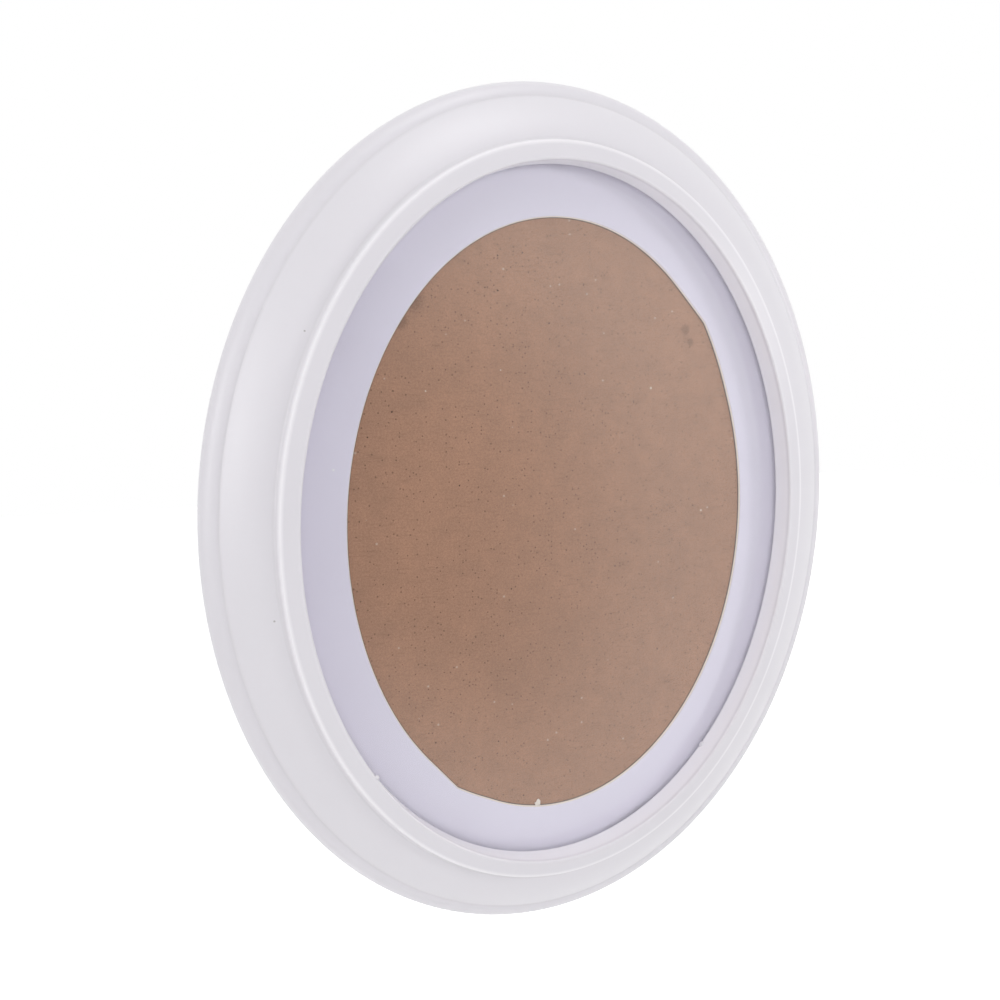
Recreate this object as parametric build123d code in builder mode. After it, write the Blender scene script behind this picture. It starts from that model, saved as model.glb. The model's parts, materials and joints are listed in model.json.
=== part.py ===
from build123d import *
from math import atan2, cos, radians, sin
import os

os.makedirs("parts", exist_ok=True)

# An oval picture frame that hangs on one wall nail.
# The wall is the plane y = 0, the front faces -Y, and +Z is up.
# The origin is the middle notch of the hanger, where the nail bears.
# All sizes are in millimetres and all angles in degrees.

# Glass, mat and backing, three ovals stacked in the rebate
glass_width = 279.4
glass_height = 355.6
glass_thickness = 2.0
mat_thickness = 1.5
mat_reveal = 24.7
backing_thickness = 3.0
rebate_clearance = 1.2
# How far the moulding covers the glass, at the sides and at the top and bottom
side_lip = 5.8
end_lip = 4.1

# Moulding section, from the sight edge outwards, each fall away from the viewer
moulding_depth = 28.4
flank_depth = 12.6
crest_bevel = 0.6
rim_width = 9.2
rim_fall = 2.3
riser_width = 1.9
riser_fall = 3.7
band_width = 21.4
band_bulge = 1.7
band_flat_count = 3
bead_width = 8.3
bead_height = 9.5
bead_bulge = 2.0
bead_flat_count = 4
outer_edge_height = 1.7
back_arris = 0.8
# The step behind, on which the turn buttons turn
ledge_width = 15.0

# Turn buttons, at angles round the oval from its right-hand end as the front is seen
button_angles = [0, 60, 120, 180, 240, 300]
button_thickness = 1.2
button_reach = 20.0
button_head_radius = 6.4
button_tip_radius = 4.5
button_lip_run = 5.0
button_lip_rise = 1.8
button_gap = 0.15
button_hole_clearance = 0.25

# Screws of the turn buttons
screw_radius = 1.75
screw_head_radius = 3.6
screw_head_height = 2.2
screw_grip = 8.0
pilot_clearance = 0.05
pilot_end_room = 0.5

# Sawtooth hanger
hanger_length = 52.0
hanger_height = 11.0
hanger_sheet = 0.9
hanger_foot = 9.0
hanger_ramp = 3.0
hanger_corner = 2.5
tooth_count = 9
tooth_depth = 2.2
tooth_land_share = 0.14

# Nails of the hanger
nail_radius = 0.8
nail_head_radius = 2.2
nail_head_thickness = 0.8
nail_grip = 6.5
nail_hole_clearance = 0.2

# Wall bumpers, as thick as the hanger stands proud
bumper_thickness = 3.0
bumper_radius = 6.0
bumper_angles = {"bumper_left": 302, "bumper_right": 238}

full_turn = 360
# How far a cut runs past the face that it opens
overrun = 1.0

# Half sizes of the ovals
sight_x = glass_width / 2 - side_lip
sight_z = glass_height / 2 - end_lip
rebate_x = glass_width / 2 + rebate_clearance
rebate_z = glass_height / 2 + rebate_clearance
pivot_x = rebate_x + ledge_width / 2
pivot_z = rebate_z + ledge_width / 2
recess_x = rebate_x + ledge_width
recess_z = rebate_z + ledge_width
opening_x = sight_x - mat_reveal
opening_z = sight_z - mat_reveal
moulding_width = rim_width + riser_width + band_width + bead_width
back_ring_x = (recess_x + sight_x + moulding_width) / 2
back_ring_z = (recess_z + sight_z + moulding_width) / 2

# Heights above the moulding's back face, towards the viewer
rebate_floor = moulding_depth - flank_depth
mat_front = rebate_floor - glass_thickness
mat_back = mat_front - mat_thickness
ledge_height = mat_back - backing_thickness
button_foot = ledge_height - button_gap
screw_seat = button_foot - button_thickness - button_gap

hanger_middle = hanger_height / 2 - tooth_depth
oval_centre_z = hanger_middle - back_ring_z
tooth_pitch = (hanger_length - (hanger_foot + hanger_ramp) * 2) / tooth_count
foot_middle = (hanger_length - hanger_foot) / 2


def level(height):
    """The oval's plane at a height above the moulding's back face, facing the viewer."""
    return Plane(
        origin=(0, -bumper_thickness - height, oval_centre_z),
        x_dir=(1, 0, 0),
        z_dir=(0, -1, 0),
    )


def pivot(angle):
    """A turn button's pivot in the oval's plane, and the direction from there to the inside."""
    turn = radians(angle)
    inward = atan2(-sin(turn) / pivot_z, -cos(turn) / pivot_x)
    return pivot_x * cos(turn), pivot_z * sin(turn), inward


def button_face(angle, height):
    """The plane of a turn button at a height, facing the wall, with x along its arm."""
    x, z, inward = pivot(angle)
    return Plane(
        origin=(x, -bumper_thickness - height, oval_centre_z + z),
        x_dir=(cos(inward), 0, sin(inward)),
        z_dir=(0, 1, 0),
    )


def button_side(angle, height):
    """The upright plane through a turn button's arm, with y towards the wall."""
    x, z, inward = pivot(angle)
    return Plane(
        origin=(x, -bumper_thickness - height, oval_centre_z + z),
        x_dir=(cos(inward), 0, sin(inward)),
        z_dir=(-sin(inward), 0, cos(inward)),
    )


def bulged_run(start, end, bulge, flats):
    """Narrow flats along an arc that stands out from its chord by the bulge, towards the viewer."""
    chord = Vector(*end) - Vector(*start)
    out = Vector(-chord.Y, chord.X).normalized()
    middle = (Vector(*start) + Vector(*end)) / 2 + out * bulge
    arc = ThreePointArc(start, middle, end, mode=Mode.PRIVATE)
    Polyline(*[arc @ (flat / flats) for flat in range(flats + 1)])


def draw_section():
    """The moulding's section, with x outwards from the sight edge and y towards the viewer."""
    rim_edge = (rim_width, moulding_depth - rim_fall)
    riser_foot = (rim_width + riser_width, moulding_depth - rim_fall - riser_fall)
    quirk = (moulding_width - bead_width, bead_height)
    outer_edge = (moulding_width, outer_edge_height)
    Polyline((0, 0), (0, moulding_depth), rim_edge, riser_foot)
    bulged_run(riser_foot, quirk, band_bulge, band_flat_count)
    bulged_run(quirk, outer_edge, bead_bulge, bead_flat_count)
    Polyline(outer_edge, (moulding_width - back_arris, 0), (0, 0))


# The moulding is its section swept round the sight oval, then rebated and stepped from behind
with BuildPart() as frame_moulding:
    with BuildLine(level(0)) as sight_line:
        EllipticalCenterArc((0, 0), sight_x, sight_z, arc_size=full_turn)
    section_plane = Plane(
        origin=(sight_x, -bumper_thickness, oval_centre_z),
        x_dir=(1, 0, 0),
        z_dir=(0, 0, -1),
    )
    with BuildSketch(section_plane) as section:
        with BuildLine():
            draw_section()
        make_face()
        chamfer(section.vertices().sort_by(Axis.Y)[-1], length=crest_bevel)
    sweep(path=sight_line.line)
    with BuildSketch(level(-overrun)):
        Ellipse(rebate_x, rebate_z)
    extrude(amount=rebate_floor + overrun, mode=Mode.SUBTRACT)
    with BuildSketch(level(-overrun)):
        Ellipse(recess_x, recess_z)
    extrude(amount=ledge_height + overrun, mode=Mode.SUBTRACT)
    with BuildSketch(level(ledge_height - overrun)):
        for angle in button_angles:
            x, z, inward = pivot(angle)
            with Locations((x, z)):
                Circle(screw_radius + pilot_clearance)
    extrude(amount=overrun + screw_grip + pilot_end_room, mode=Mode.SUBTRACT)
    with BuildSketch(level(-overrun)):
        with Locations((-foot_middle, back_ring_z), (foot_middle, back_ring_z)):
            Circle(nail_radius + pilot_clearance)
    extrude(amount=overrun + nail_grip + pilot_end_room, mode=Mode.SUBTRACT)
frame_moulding.part.label = "frame_moulding"
export_step(frame_moulding.part, "parts/frame_moulding.step")

# The glass lies against the rebate's floor
with BuildPart() as glass_pane:
    with BuildSketch(level(mat_front)):
        Ellipse(glass_width / 2, glass_height / 2)
    extrude(amount=glass_thickness)
glass_pane.part.label = "glass_pane"
export_step(glass_pane.part, "parts/glass_pane.step")

# The mat has the glass's outline and an opening cut at 45 degrees, wider in front
with BuildPart() as mat_board:
    with BuildSketch(level(mat_back)):
        Ellipse(glass_width / 2, glass_height / 2)
    extrude(amount=mat_thickness)
    with BuildSketch(level(mat_back - overrun)):
        Ellipse(opening_x - overrun, opening_z - overrun)
    front_growth = mat_thickness + overrun
    with BuildSketch(level(mat_front + overrun)):
        Ellipse(opening_x + front_growth, opening_z + front_growth)
    loft(ruled=True, mode=Mode.SUBTRACT)
mat_board.part.label = "mat_board"
export_step(mat_board.part, "parts/mat_board.step")

# The hardboard backing ends level with the ledge
with BuildPart() as backing_board:
    with BuildSketch(level(ledge_height)):
        Ellipse(glass_width / 2, glass_height / 2)
    extrude(amount=backing_thickness)
backing_board.part.label = "backing_board"
export_step(backing_board.part, "parts/backing_board.step")

# Each turn button is a bent strip cut to a tapered outline, with its tip lifted for a finger
for number, angle in enumerate(button_angles, start=1):
    arm_end = button_reach + button_tip_radius
    bend = arm_end - button_lip_run
    with BuildPart() as turn_button:
        with BuildSketch(button_side(angle, button_foot)):
            Polygon(
                (-button_head_radius, 0),
                (bend, 0),
                (arm_end, button_lip_rise),
                (arm_end, button_lip_rise + button_thickness),
                (bend, button_thickness),
                (-button_head_radius, button_thickness),
                align=None,
            )
        extrude(amount=button_head_radius, both=True)
        with BuildSketch(button_face(angle, button_foot)):
            Circle(button_head_radius)
            with Locations((button_reach, 0)):
                Circle(button_tip_radius)
            make_hull()
        extrude(amount=button_lip_rise + button_thickness, mode=Mode.INTERSECT)
        with BuildSketch(button_face(angle, button_foot + overrun)):
            Circle(screw_radius + button_hole_clearance)
        extrude(amount=button_thickness + overrun * 2, mode=Mode.SUBTRACT)
    turn_button.part.label = f"turn_button_{number}"
    export_step(turn_button.part, f"parts/turn_button_{number}.step")

# Pan-head screws hold the turn buttons and are the pins that they turn on
with BuildPart() as turn_button_screws:
    for angle in button_angles:
        with BuildSketch(button_face(angle, ledge_height + screw_grip)):
            Circle(screw_radius)
        extrude(amount=ledge_height + screw_grip - screw_seat)
        with BuildSketch(button_face(angle, screw_seat)):
            Circle(screw_head_radius)
        extrude(amount=screw_head_height)
turn_button_screws.part.label = "turn_button_screws"
export_step(turn_button_screws.part, "parts/turn_button_screws.step")

# The hanger is a steel strip bridged out to the wall plane, with notches in its lower edge
with BuildPart() as sawtooth_hanger:
    bridge_end = hanger_length / 2 - hanger_foot - hanger_ramp
    foot_start = hanger_length / 2 - hanger_foot
    foot_top = hanger_sheet - bumper_thickness
    with BuildSketch(Plane.XY.offset(-tooth_depth)):
        with BuildLine():
            Polyline(
                (0, 0),
                (bridge_end, 0),
                (foot_start, foot_top),
                (hanger_length / 2, foot_top),
                (hanger_length / 2, -bumper_thickness),
                (foot_start, -bumper_thickness),
                (bridge_end, -hanger_sheet),
                (0, -hanger_sheet),
            )
            mirror(about=Plane.YZ)
        make_face()
    extrude(amount=hanger_height)
    upright_ends = sawtooth_hanger.edges().filter_by(Axis.Y)
    strip_corners = upright_ends.group_by(Axis.X)[0] + upright_ends.group_by(Axis.X)[-1]
    fillet(strip_corners, radius=hanger_corner)
    notch_half = tooth_pitch * (1 - tooth_land_share) / 2
    with BuildSketch(Plane.XZ.offset(-overrun)):
        with GridLocations(tooth_pitch, tooth_pitch, tooth_count, 1):
            Polygon((0, 0), (-notch_half, -tooth_depth), (notch_half, -tooth_depth), align=None)
    extrude(amount=hanger_sheet + overrun * 2, mode=Mode.SUBTRACT)
    with BuildSketch(Plane.XZ.offset(-overrun)):
        with Locations((-foot_middle, hanger_middle), (foot_middle, hanger_middle)):
            Circle(nail_radius + nail_hole_clearance)
    extrude(amount=bumper_thickness + overrun * 2, mode=Mode.SUBTRACT)
sawtooth_hanger.part.label = "sawtooth_hanger"
export_step(sawtooth_hanger.part, "parts/sawtooth_hanger.step")

# Two nails through the hanger's feet
with BuildPart() as hanger_nails:
    nail_places = [(-foot_middle, back_ring_z), (foot_middle, back_ring_z)]
    with BuildSketch(level(-hanger_sheet)):
        with Locations(*nail_places):
            Circle(nail_radius)
    extrude(amount=hanger_sheet + nail_grip)
    with BuildSketch(level(-hanger_sheet - nail_head_thickness)):
        with Locations(*nail_places):
            Circle(nail_head_radius)
    extrude(amount=nail_head_thickness)
hanger_nails.part.label = "hanger_nails"
export_step(hanger_nails.part, "parts/hanger_nails.step")

# Rubber bumpers at the lower back rest on the wall
for name, angle in bumper_angles.items():
    turn = radians(angle)
    with BuildPart() as bumper:
        with BuildSketch(level(0)):
            with Locations((back_ring_x * cos(turn), back_ring_z * sin(turn))):
                Circle(bumper_radius)
        extrude(amount=-bumper_thickness)
    bumper.part.label = name
    export_step(bumper.part, f"parts/{name}.step")
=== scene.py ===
import json
from math import atan2, cos, hypot, pi, radians, sin, sqrt, tan

import bmesh
import bpy
from bpy.props import FloatProperty, FloatVectorProperty, IntProperty, PointerProperty
from bpy.types import Operator, Panel, PropertyGroup
from mathutils import Matrix, Vector


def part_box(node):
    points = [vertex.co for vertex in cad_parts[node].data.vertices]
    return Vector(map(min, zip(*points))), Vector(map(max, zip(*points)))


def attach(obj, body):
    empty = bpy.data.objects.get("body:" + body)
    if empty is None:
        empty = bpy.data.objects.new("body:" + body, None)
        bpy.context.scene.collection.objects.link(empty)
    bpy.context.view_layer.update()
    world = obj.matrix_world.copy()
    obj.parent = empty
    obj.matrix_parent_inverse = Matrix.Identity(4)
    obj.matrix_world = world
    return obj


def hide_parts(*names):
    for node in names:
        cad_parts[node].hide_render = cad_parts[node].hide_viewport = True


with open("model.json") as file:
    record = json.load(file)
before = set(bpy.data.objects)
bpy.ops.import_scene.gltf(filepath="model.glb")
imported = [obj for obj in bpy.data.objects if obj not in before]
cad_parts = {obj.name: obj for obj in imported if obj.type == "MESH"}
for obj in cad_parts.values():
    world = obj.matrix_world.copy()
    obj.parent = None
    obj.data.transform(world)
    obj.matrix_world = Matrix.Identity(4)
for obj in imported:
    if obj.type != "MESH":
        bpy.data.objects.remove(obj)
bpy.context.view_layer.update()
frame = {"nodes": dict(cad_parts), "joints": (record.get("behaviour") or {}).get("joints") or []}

bl_info = {
    "name": "Oval picture frame",
    "version": (1, 0, 0),
    "blender": (4, 5, 0),
    "location": "3D View > Sidebar > Oval Frame",
    "description": "Dresses an oval wall frame with its moulding, glass, mat and fittings",
    "category": "Object",
}

# The boxes of the plain model, in metres. The wall is y = 0 and the front faces -Y.
ring_low, ring_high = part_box("frame_moulding")
glass_low, glass_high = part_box("glass_pane")
mat_low, mat_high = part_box("mat_board")
backing_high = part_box("backing_board")[1]
screws_low, screws_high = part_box("turn_button_screws")

MM = 0.001
FULL_TURN = 2 * pi
FRAME_BODY = "frame"
MAT_GAP = 0.04 * MM  # between the glass and the visible mat, whose faces would coincide otherwise
WELD_REACH = MM / 1000  # points closer than this are one point

# The oval's middle and the levels that the pieces meet at
middle_x = (ring_low.x + ring_high.x) / 2
middle_z = (ring_low.z + ring_high.z) / 2
back_y = ring_high.y
front_y = ring_low.y
glass_front_y = glass_low.y
mat_front_y = mat_low.y + MAT_GAP
mat_back_y = mat_high.y
ledge_y = backing_high.y
glass_half_x = (glass_high.x - glass_low.x) / 2
glass_half_z = (glass_high.z - glass_low.z) / 2


def number(name, default, description, **limits):
    return FloatProperty(name=name, description=description, default=default, **limits)


def length(name, millimetres, description):
    """A length property, given in millimetres and kept in metres."""
    return number(name, millimetres * MM, description, unit="LENGTH", precision=5)


def colour(name, red, green, blue, description):
    """A colour property, given as the 0 to 255 values that a screen shows."""
    linear = tuple(screen_to_linear(value) for value in (red, green, blue))
    return FloatVectorProperty(
        name=name, description=description, default=linear, subtype="COLOR", min=0.0, max=1.0
    )


def screen_to_linear(value):
    """The sRGB curve undone."""
    share = value / 255
    if share <= 0.04045:
        return share / 12.92
    return ((share + 0.055) / 1.055) ** 2.4


class MouldingSizes(PropertyGroup):
    """The moulding's section, from the sight edge outwards."""

    lip_sides: length("Lip at the sides", 5.8, "How far the moulding covers the glass there")
    lip_ends: length("Lip at the ends", 4.1, "How far it covers the glass at top and bottom")
    crest_round: length("Crest rounding", 0.9, "Radius along the sight edge")
    rim_width: length("Rim width", 9.2, "Width of the band beside the sight edge")
    rim_fall: length("Rim fall", 2.3, "How much lower the rim ends than it starts")
    arris_round: length("Arris rounding", 0.5, "Radius where the rim turns down")
    foot_round: length("Foot rounding", 1.6, "Hollow radius where the small step meets the band")
    riser_width: length("Riser width", 1.2, "Width of the small step below the rim")
    riser_fall: length("Riser fall", 3.7, "Height of the small step below the rim")
    band_width: length("Band width", 22.1, "Width of the wide rounded band")
    band_bulge: length("Band bulge", 1.7, "How far the band stands out from its chord")
    bead_width: length("Bead width", 8.3, "Width of the bead round the outside")
    quirk_height: length("Quirk height", 9.5, "Height of the line between band and bead")
    bead_bulge: length("Bead bulge", 2.0, "How far the bead stands out from its chord")
    quirk_round: length("Quirk rounding", 1.3, "Hollow radius of the line between band and bead")
    side_height: length("Side height", 1.7, "Height of the bead's foot above the back")
    back_arris: length("Back arris", 0.8, "Width of the bevel along the outer back edge")
    rebate_play: length("Rebate clearance", 1.2, "Space between the glass and the rebate")
    ledge_width: length("Ledge width", 15.0, "Width of the step that the turn buttons stand on")
    stations: IntProperty(
        name="Stations", description="Points round the oval", default=384, min=48, max=2000
    )


class MatSizes(PropertyGroup):
    """The mat's opening and the slips of the knife along it."""

    reveal: length("Reveal", 24.4, "Width of the mat between the sight edge and its opening")
    shift_x: length("Shift across", 0.7, "How far the opening sits right of the middle")
    shift_z: length("Shift up", -0.5, "How far the opening sits above the middle")
    bevel_run: length("Bevel run", 1.0, "How far the knife's slant goes back from the opening")
    burr_size: length("Burr size", 3.2, "Width of the torn burr at the lower edge")
    stations: IntProperty(
        name="Stations", description="Points round the opening", default=1440, min=96, max=4000
    )


class FittingSizes(PropertyGroup):
    """The small metal and rubber parts behind the frame."""

    screw_shank: length("Screw shank", 1.75, "Radius of the screws' shanks")
    screw_head: length("Screw head", 3.6, "Radius of the screws' heads")
    screw_head_rise: length("Screw head rise", 2.2, "Height of the screws' heads")
    recess_width: length("Cross width", 1.1, "Width of each slot of the cross recess")
    recess_span: length("Cross span", 4.2, "Length of each slot of the cross recess")
    recess_depth: length("Cross depth", 1.4, "Depth of the cross recess")
    nail_shank: length("Nail shank", 0.8, "Radius of the nails' shanks")
    nail_head: length("Nail head", 2.2, "Radius of the nails' heads")
    nail_head_rise: length("Nail head rise", 0.8, "Height of the nails' heads")
    bumper_round: length("Bumper rounding", 0.9, "Radius along the bumpers' rims")
    soft_edge: length("Edge rounding", 0.3, "Rounding seen along the edges of the stamped steel")


class Finishes(PropertyGroup):
    """The colours of the finishes."""

    lacquer: colour("Lacquer", 226, 223, 229, "White lacquer of the moulding")
    raw_board: colour("Raw board", 168, 139, 106, "Bare fibreboard behind the moulding")
    mat_face: colour("Mat face", 233, 226, 242, "Facing paper of the mat")
    mat_core: colour("Mat core", 240, 229, 222, "Core of the mat where it is cut")
    hardboard: colour("Hardboard", 173, 129, 104, "Pressed hardboard of the backing")
    hardboard_dark: colour("Hardboard fleck", 76, 46, 34, "Dark fibres in the hardboard")
    glass: colour("Glass", 252, 253, 253, "Tint of the glass")
    zinc: colour("Zinc", 205, 206, 206, "Plated steel")
    rubber: colour("Rubber", 222, 221, 216, "Pale rubber of the bumpers")


class StageSettings(PropertyGroup):
    """Camera, lamps and floor."""

    azimuth: number("Azimuth", radians(-23.611), "Turn of the camera round it", subtype="ANGLE")
    elevation: number("Elevation", radians(7.671), "Height angle of the camera", subtype="ANGLE")
    distance: length("Distance", 525.15, "Distance of the camera from the oval's middle")
    aim_right: length("Aim right", 27.601, "How far the oval's middle sits right in the view")
    aim_up: length("Aim up", -9.898, "How far the oval's middle sits up in the view")
    aim_height: length("Aim height", 9.5, "Height of the aim's plane above the moulding's back")
    lens: number("Lens", 37.13, "Focal length of the camera in millimetres", min=5.0)
    ambient: number("Ambient", 0.30, "Light of the white studio all round", min=0.0)
    ceiling_glow: number("Ceiling glow", 0.85, "Broad light of the studio's ceiling", min=0.0)
    open_azimuth: number("Open side azimuth", 12.0, "Degrees round to the studio's open side")
    open_elevation: number("Open side elevation", -10.0, "Degrees up to the studio's open side")
    open_reach: number("Open side reach", 22.0, "Degrees from its middle to its edge", min=1.0)
    open_depth: number("Open side depth", 0.9, "How dim its middle is", min=0.0, max=1.0)
    floor_glow: number("Floor glow", 0.45, "Light that whitens the floor where it is seen", min=0.0)
    floor_drop: length("Floor drop", 320.0, "How far the floor lies below the hanging frame")


# ---------- meshes ----------


def oval_point(angle, half_x, half_z):
    """A point of an ellipse about the oval's middle, at an angle of its own."""
    return middle_x + half_x * cos(angle), middle_z + half_z * sin(angle)


def oval_outward(angle, half_x, half_z):
    """The direction straight out of an ellipse at an angle of its own."""
    out_x, out_z = cos(angle) / half_x, sin(angle) / half_z
    size = hypot(out_x, out_z)
    return out_x / size, out_z / size


def reach_to_oval(start, outward, half_x, half_z):
    """How far a point is from an ellipse, going straight out."""
    start_x, start_z = (start[0] - middle_x) / half_x, (start[1] - middle_z) / half_z
    out_x, out_z = outward[0] / half_x, outward[1] / half_z
    square = out_x**2 + out_z**2
    cross = start_x * out_x + start_z * out_z
    rest = start_x**2 + start_z**2 - 1
    return (-cross + sqrt(cross**2 - square * rest)) / square


def bulged_points(start, end, bulge, steps):
    """Points along an arc that stands out from its chord by the bulge."""
    chord = hypot(end[0] - start[0], end[1] - start[1])
    radius = (chord**2 / 4 + bulge**2) / (2 * bulge)
    out_x, out_y = -(end[1] - start[1]) / chord, (end[0] - start[0]) / chord
    sink = radius - bulge
    centre = ((start[0] + end[0]) / 2 - out_x * sink, (start[1] + end[1]) / 2 - out_y * sink)
    first = atan2(start[1] - centre[1], start[0] - centre[0])
    last = atan2(end[1] - centre[1], end[0] - centre[0])
    turns = [first + (last - first) * step / steps for step in range(steps + 1)]
    return [(centre[0] + radius * cos(turn), centre[1] + radius * sin(turn)) for turn in turns]


def rounded_corner(before, corner, after, radius, steps):
    """Points of an arc that rounds a corner between two straight stretches."""
    corner_v = Vector(corner)
    back = (Vector(before) - corner_v).normalized()
    ahead = (Vector(after) - corner_v).normalized()
    half_angle = back.angle(ahead) / 2
    run = radius / tan(half_angle)
    centre = corner_v + (back + ahead).normalized() * (radius / sin(half_angle))
    start, end = corner_v + back * run - centre, corner_v + ahead * run - centre
    points = []
    for step in range(steps + 1):
        arm = start.lerp(end, step / steps).normalized() * radius
        points.append(tuple(centre + arm))
    return points


def ring_mesh(name, rings, closed=True, materials=None, masks=None):
    """A mesh of quads between rings of points, with its faces outwards.

    A mask has one value for each ring. Rings that don't close up start and end with a single point.
    """
    count, total = len(rings[0]), len(rings)
    faces, slots = [], []
    for row in range(total if closed else total - 1):
        here, there = row * count, (row + 1) % total * count
        for step in range(count):
            ahead = (step + 1) % count
            faces.append((here + step, here + ahead, there + ahead, there + step))
            slots.append(materials[row] if materials else 0)
    mesh = bpy.data.meshes.new(name)
    mesh.from_pydata([point for ring in rings for point in ring], [], faces)
    mesh.polygons.foreach_set("material_index", slots)
    for mask, values in (masks or {}).items():
        layer = mesh.attributes.new(mask, "FLOAT", "POINT")
        layer.data.foreach_set("value", [value for value in values for _ in range(count)])
    form = bmesh.new()
    form.from_mesh(mesh)
    if not closed:
        bmesh.ops.remove_doubles(form, verts=form.verts, dist=WELD_REACH)
    bmesh.ops.recalc_face_normals(form, faces=form.faces)
    form.to_mesh(mesh)
    form.free()
    return mesh


def mesh_from(form, name):
    """A new mesh of a bmesh, which is freed."""
    mesh = bpy.data.meshes.new(name)
    form.to_mesh(mesh)
    form.free()
    return mesh


def lathe_mesh(name, profile, count):
    """A closed round form about the Z axis. The profile's first and last radius are zero."""
    turns = [FULL_TURN * step / count for step in range(count)]
    circle = [(cos(turn), sin(turn)) for turn in turns]
    rings = [[(radius * x, radius * y, rise) for x, y in circle] for radius, rise in profile]
    return ring_mesh(name, rings, closed=False)


def joined_copies(name, mesh, places):
    """One mesh of copies of another, each put in its place by a matrix."""
    whole = bmesh.new()
    for place in places:
        copy = mesh.copy()
        copy.transform(place)
        whole.from_mesh(copy)
        bpy.data.meshes.remove(copy)
    return mesh_from(whole, name)


def place_facing_wall(x, y, z, spin=0.0):
    """A matrix that turns a form's Z axis to the wall and spins it about that axis."""
    turn = Matrix.Rotation(-pi / 2, 4, "X") @ Matrix.Rotation(spin, 4, "Z")
    return Matrix.Translation((x, y, z)) @ turn


def new_object(name, data):
    """An object in the scene."""
    item = bpy.data.objects.new(name, data)
    bpy.context.scene.collection.objects.link(item)
    return item


def add_piece(name, mesh, crease, materials, slot, *nodes):
    """An object of the frame's body, which takes the place of plain nodes.

    It is shaded smooth, with sharp edges where faces meet at more than the crease in degrees.
    """
    mesh.polygons.foreach_set("use_smooth", [True] * len(mesh.polygons))
    mesh.set_sharp_from_angle(angle=radians(crease))
    piece = new_object(name, mesh)
    for material in materials:
        mesh.materials.append(material)
    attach(piece, FRAME_BODY)
    if nodes:
        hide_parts(*nodes)


def dress_node(node, material):
    """Gives a plain node that keeps its shape a better material."""
    piece = frame["nodes"][node]
    if not piece.material_slots:
        raise RuntimeError(f"{node} has no material slot")
    for place in piece.material_slots:
        place.material = material


# ---------- node trees ----------


class Nodes:
    """A node tree, with short ways to add what the looks and the lamps share."""

    def __init__(self, tree):
        self.tree = tree

    def add(self, kind, inputs=None, **settings):
        """A node with its settings, and its inputs linked or set by name or number."""
        node = self.tree.nodes.new(kind)
        for name, value in settings.items():
            setattr(node, name, value)
        self.feed(node, inputs or {})
        return node

    def feed(self, node, inputs):
        """Links the inputs that are given as sockets and sets the others."""
        for name, value in inputs.items():
            if isinstance(value, bpy.types.NodeSocket):
                self.tree.links.new(value, node.inputs[name])
            else:
                node.inputs[name].default_value = value

    def maths(self, operation, first, second, clamp=False):
        inputs = {0: first, 1: second}
        node = self.add("ShaderNodeMath", inputs, operation=operation, use_clamp=clamp)
        return node.outputs[0]

    def times(self, first, second, clamp=False):
        return self.maths("MULTIPLY", first, second, clamp)

    def vector_maths(self, operation, first, second):
        node = self.add("ShaderNodeVectorMath", {0: first, 1: second}, operation=operation)
        return node.outputs["Value"]

    def mix_colours(self, factor, first, second, blend="MIX"):
        # The Mix node has its sockets for colours after those for numbers and for vectors
        inputs = {0: factor, 6: first, 7: second}
        node = self.add("ShaderNodeMix", inputs, data_type="RGBA", blend_type=blend)
        return node.outputs[2]

    def spread(self, value, low, high, start=0.0, end=1.0, curve="LINEAR"):
        """Takes a value from its range between low and high to one between start and end."""
        inputs = {0: value, 1: low, 2: high, 3: start, 4: end}
        return self.add("ShaderNodeMapRange", inputs, interpolation_type=curve).outputs[0]

    def noise(self, place, scale, detail, roughness=0.5):
        inputs = {"Vector": place, "Scale": scale, "Detail": detail, "Roughness": roughness}
        return self.add("ShaderNodeTexNoise", inputs).outputs["Fac"]

    def moved(self, place, shift=(0.0, 0.0, 0.0), turn=0.0, stretch=(1.0, 1.0, 1.0)):
        """A place that is stretched, turned about the Y axis and shifted."""
        spin = (0.0, turn, 0.0)
        inputs = {"Vector": place, "Location": shift, "Rotation": spin, "Scale": stretch}
        return self.add("ShaderNodeMapping", inputs).outputs[0]

    def group(self, name, inputs):
        """What a shared group gives. The group is built the first time it is asked for."""
        tree = bpy.data.node_groups.get(name) or GROUP_BUILDERS[name]()
        return self.add("ShaderNodeGroup", inputs, node_tree=tree).outputs[0]


class Group(Nodes):
    """A shared group in the making. Points and numbers come in and one value goes out."""

    def __init__(self, name, result, numbers, points=("Vector",)):
        super().__init__(bpy.data.node_groups.new(name, "ShaderNodeTree"))
        interface = self.tree.interface
        for label in points:
            interface.new_socket(label, in_out="INPUT", socket_type="NodeSocketVector")
        for label, default in numbers.items():
            socket = interface.new_socket(label, in_out="INPUT", socket_type="NodeSocketFloat")
            socket.default_value = default
        interface.new_socket(result, in_out="OUTPUT", socket_type="NodeSocketFloat")
        self.given = self.tree.nodes.new("NodeGroupInput").outputs

    def done(self, value):
        """The group's tree, with the value that it gives."""
        self.add("NodeGroupOutput", {0: value})
        return self.tree


SMALLEST_FLECK = 0.3  # size of the smallest fleck against the size that is asked for
FULL_WITHIN = 0.5  # share of a fleck's radius that is fully covered
SCRATCH_LINES = [(0.4, 0.06), (1.9, 0.04)]  # turn and stretch of each direction
SCRATCH_EDGES = (0.62, 0.70)  # the noise that scratches are cut from
SPOT_EDGES = (1.0, 0.35)  # shares of a spot's radius where it starts and is full
SPOT_NOISE = 900.0  # scale of its ragged edge


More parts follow.
